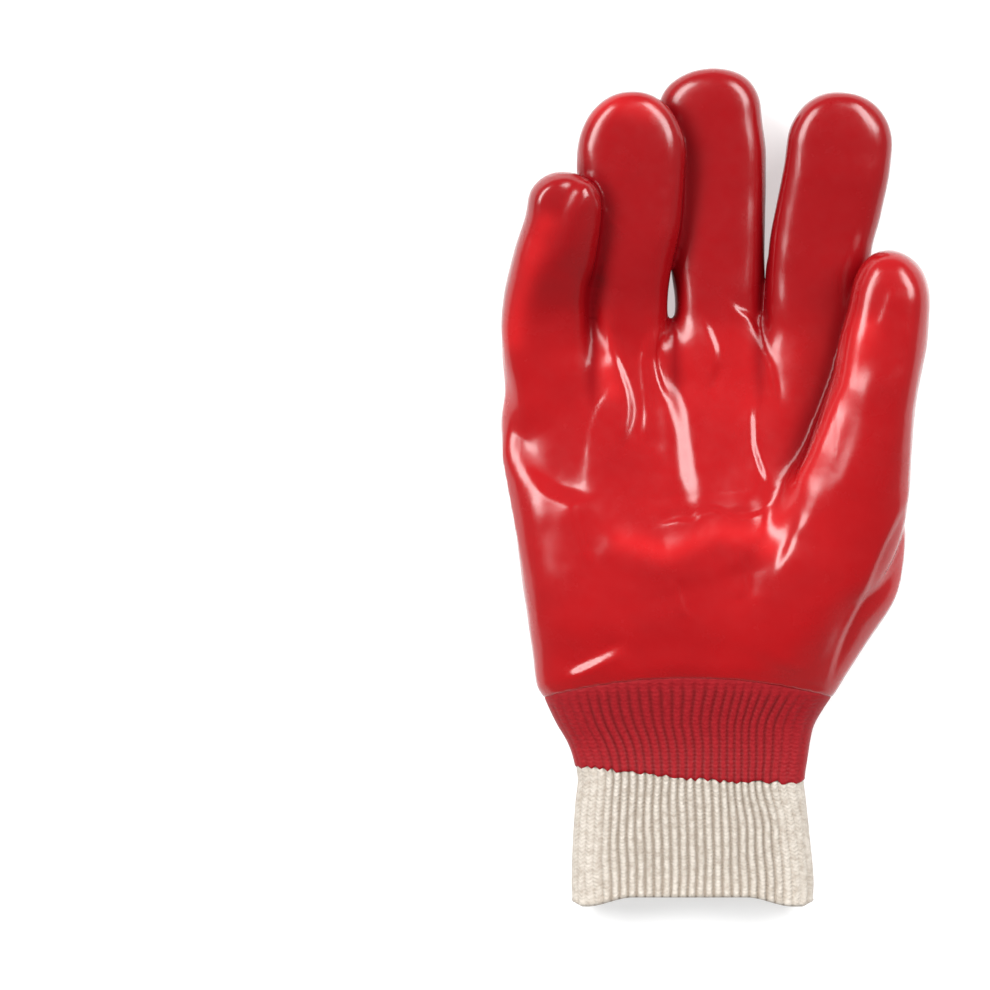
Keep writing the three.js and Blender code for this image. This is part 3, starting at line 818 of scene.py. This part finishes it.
def spread(nodes, links, value, low, high):
    """A value of 0 to 1, spread from low to high."""
    node = nodes.new("ShaderNodeMapRange")
    links.new(value, node.inputs["Value"])
    node.inputs["To Min"].default_value = low
    node.inputs["To Max"].default_value = high
    return node.outputs["Result"]


def parts_of(nodes, links, attribute):
    node = nodes.new("ShaderNodeAttribute")
    node.attribute_name = attribute
    parts = nodes.new("ShaderNodeSeparateXYZ")
    links.new(node.outputs["Vector"], parts.inputs["Vector"])
    return parts.outputs


def math_node(nodes, links, operation, *values):
    node = nodes.new("ShaderNodeMath")
    node.operation = operation
    for socket, value in zip(node.inputs, values):
        if isinstance(value, float):
            socket.default_value = value
        else:
            links.new(value, socket)
    return node.outputs["Value"]


def stitches(nodes, links, slant):
    """The groove's share, and rows of loops up each rib: a wave along its height that bends at the crest."""
    groove, height, across = parts_of(nodes, links, "knit")
    bend = math_node(nodes, links, "MULTIPLY_ADD", across, slant, height)
    turn = math_node(nodes, links, "MULTIPLY", bend, 2 * math.pi * LOOPS_PER_MM)
    return groove, math_node(nodes, links, "SINE", turn)


def mixed(nodes, links, share, a, b):
    """Colour a, with the given share of the plain colour b."""
    node = nodes.new("ShaderNodeMix")
    node.data_type = "RGBA"
    links.new(share, node.inputs[0])
    links.new(a, node.inputs[6])
    node.inputs[7].default_value = (*b, 1)
    return node.outputs[2]


def coating_material():
    material, nodes, links, shader = new_material("glossy red coating")
    place = nodes.new("ShaderNodeTexCoord").outputs["Object"]
    # Painted shade of the fingers' faces and between digits, and painted light where the red is brighter.
    painted_face_shade, shade_between_digits, painted_light_share = parts_of(nodes, links, "shade")
    blotches = noise(nodes, links, place, 24, 3)
    color = ramp(nodes, links, blotches.outputs["Fac"], COATING_COLORS).outputs["Color"]
    color = mixed(nodes, links, painted_face_shade, color, FACE_SHADE_COLOR)
    color = mixed(nodes, links, painted_light_share, color, PAINTED_LIGHT_COLOR)
    color = mixed(nodes, links, shade_between_digits, color, PAINTED_SHADE_COLOR)
    links.new(color, shader.inputs["Base Color"])
    smears = noise(nodes, links, place, 70, 5, 0.6)
    links.new(spread(nodes, links, smears.outputs["Fac"], 0.18, 0.34), shader.inputs["Roughness"])
    peel = noise(nodes, links, place, 420, 2)
    soft = noise(nodes, links, place, 90, 3)
    normal = bump(nodes, links, soft.outputs["Fac"], 0.25, 0.0012)
    normal = bump(nodes, links, peel.outputs["Fac"], 0.12, 0.00025, normal)
    links.new(normal, shader.inputs["Normal"])
    shader.inputs["Specular IOR Level"].default_value = 0.1
    # The coat thins where the painted shade between digits is deepest, hiding reflections there as shade would.
    links.new(spread(nodes, links, shade_between_digits, 0.75, 0.05), shader.inputs["Coat Weight"])
    shader.inputs["Coat IOR"].default_value = 1.5
    worn = noise(nodes, links, place, 260, 4, 0.65)
    links.new(spread(nodes, links, worn.outputs["Fac"], 0.08, 0.32), shader.inputs["Coat Roughness"])
    return material


def band_material():
    material, nodes, links, shader = new_material("red coating on rib knit")
    place = nodes.new("ShaderNodeTexCoord").outputs["Object"]
    groove, loops = stitches(nodes, links, 0.5)
    grain = noise(nodes, links, place, 900, 3)
    crest = ramp(nodes, links, grain.outputs["Fac"], BAND_COLORS)
    # Painted shade: the grooves between the ribs are darker.
    color = mixed(nodes, links, groove, crest.outputs["Color"], BAND_GROOVE_SHADE_COLOR)
    links.new(color, shader.inputs["Base Color"])
    links.new(spread(nodes, links, grain.outputs["Fac"], 0.40, 0.62), shader.inputs["Roughness"])
    normal = bump(nodes, links, loops, 0.12, 0.0002)
    links.new(bump(nodes, links, grain.outputs["Fac"], 0.3, 0.0003, normal), shader.inputs["Normal"])
    shader.inputs["Specular IOR Level"].default_value = 0.25
    return material


def knit_material():
    material, nodes, links, shader = new_material("cream rib knit")
    place = nodes.new("ShaderNodeTexCoord").outputs["Object"]
    groove, loops = stitches(nodes, links, 0.9)
    fuzz = noise(nodes, links, place, 1400, 3, 0.6)
    melange = noise(nodes, links, place, 500, 3)
    crest = ramp(nodes, links, melange.outputs["Fac"], KNIT_COLORS)
    # Painted shade: the grooves between the ribs are darker.
    color = mixed(nodes, links, groove, crest.outputs["Color"], KNIT_GROOVE_SHADE_COLOR)
    links.new(color, shader.inputs["Base Color"])
    normal = bump(nodes, links, loops, 0.2, 0.0003)
    links.new(bump(nodes, links, fuzz.outputs["Fac"], 0.5, 0.0004, normal), shader.inputs["Normal"])
    shader.inputs["Roughness"].default_value = 0.9
    shader.inputs["Sheen Weight"].default_value = 0.2
    shader.inputs["Sheen Roughness"].default_value = 0.5
    return material


def lining_material():
    material, nodes, links, shader = new_material("cotton lining")
    place = nodes.new("ShaderNodeTexCoord").outputs["Object"]
    fuzz = noise(nodes, links, place, 600, 4, 0.6)
    color = ramp(nodes, links, fuzz.outputs["Fac"], LINING_COLORS)
    links.new(color.outputs["Color"], shader.inputs["Base Color"])
    links.new(bump(nodes, links, fuzz.outputs["Fac"], 0.6, 0.0006), shader.inputs["Normal"])
    shader.inputs["Roughness"].default_value = 0.95
    return material


put_coordinates(hand, "shade", shade)
hand.data.materials.append(coating_material())
band.data.materials.append(band_material())
cuff.data.materials.append(knit_material())
lining.data.materials.append(lining_material())

for piece in (hand, lining, cuff, band):
    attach(piece, "root")
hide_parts("coated_hand")
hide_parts("coated_wrist_band")
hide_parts("knit_cuff")


# The studio, in metres. The picture's side is in the photograph's columns and the sensor's width in mm.
PICTURE_SIDE = 990
CAMERA_HEIGHT = 12
SENSOR_WIDTH = 36
FLOOR_SIZE, FLOOR_DROP = 6, 0.0002
# [place on the ramp from the horizon up, grey]
SKY = [(0.0, 0.30), (0.3, 0.30), (0.6, 0.18), (0.9, 0.05)]


def grey(value):
    return (value, value, value)


def studio():
    bpy.ops.mesh.primitive_plane_add(size=FLOOR_SIZE, location=(0, 0, -FLOOR_DROP))
    floor = bpy.context.active_object
    floor.name = "studio_floor"
    material, nodes, links, shader = new_material("pale floor")
    place = nodes.new("ShaderNodeTexCoord").outputs["Object"]
    grain = noise(nodes, links, place, 3, 2)
    color = ramp(nodes, links, grain.outputs["Fac"], [(0.2, grey(0.52)), (0.8, grey(0.55))])
    links.new(color.outputs["Color"], shader.inputs["Base Color"])
    links.new(color.outputs["Color"], shader.inputs["Emission Color"])
    shader.inputs["Emission Strength"].default_value = 0.95
    shader.inputs["Roughness"].default_value = 0.9
    floor.data.materials.append(material)

    world = bpy.data.worlds.new("studio")
    bpy.context.scene.world = world
    world.use_nodes = True
    nodes, links = world.node_tree.nodes, world.node_tree.links
    place = nodes.new("ShaderNodeTexCoord").outputs["Generated"]
    parts = nodes.new("ShaderNodeSeparateXYZ")
    links.new(place, parts.inputs["Vector"])
    sky = ramp(nodes, links, parts.outputs["Z"], [(place_up, grey(value)) for place_up, value in SKY])
    links.new(sky.outputs["Color"], nodes["Background"].inputs["Color"])
    nodes["Background"].inputs["Strength"].default_value = 1.0

    def softbox(name, azimuth, elevation, distance, width, height, power):
        light = bpy.data.lights.new(name, "AREA")
        light.shape = "RECTANGLE"
        light.size, light.size_y = width, height
        light.energy = power
        lamp = bpy.data.objects.new(name, light)
        bpy.context.scene.collection.objects.link(lamp)
        a, e = math.radians(azimuth), math.radians(elevation)
        where = Vector((math.cos(e) * math.cos(a), math.cos(e) * math.sin(a), math.sin(e))) * distance
        lamp.location = where
        lamp.rotation_euler = (-where).to_track_quat("-Z", "Y").to_euler()
        return lamp

    softbox("left_softbox", 148, 43, 4, 3.4, 1.3, 205)
    softbox("right_softbox", 38, 43, 4, 3.0, 1.3, 172)
    overhead = softbox("overhead_fill", 90, 88, 5, 7, 7, 165)
    overhead.visible_glossy = False

    camera = bpy.data.cameras.new("camera")
    stand = bpy.data.objects.new("camera", camera)
    bpy.context.scene.collection.objects.link(stand)
    bpy.context.scene.camera = stand
    camera.sensor_width = SENSOR_WIDTH
    camera.lens = SENSOR_WIDTH * CAMERA_HEIGHT / (PICTURE_SIDE * PIXEL / 1000)
    middle = from_photo([(PICTURE_SIDE / 2, PICTURE_SIDE / 2)])[0]
    x, y, _ = to_frame([[*middle, 0]])[0]
    stand.location = (x, y, CAMERA_HEIGHT)
    bpy.context.scene.view_settings.view_transform = "Standard"
    bpy.context.scene.view_settings.look = "None"


studio()
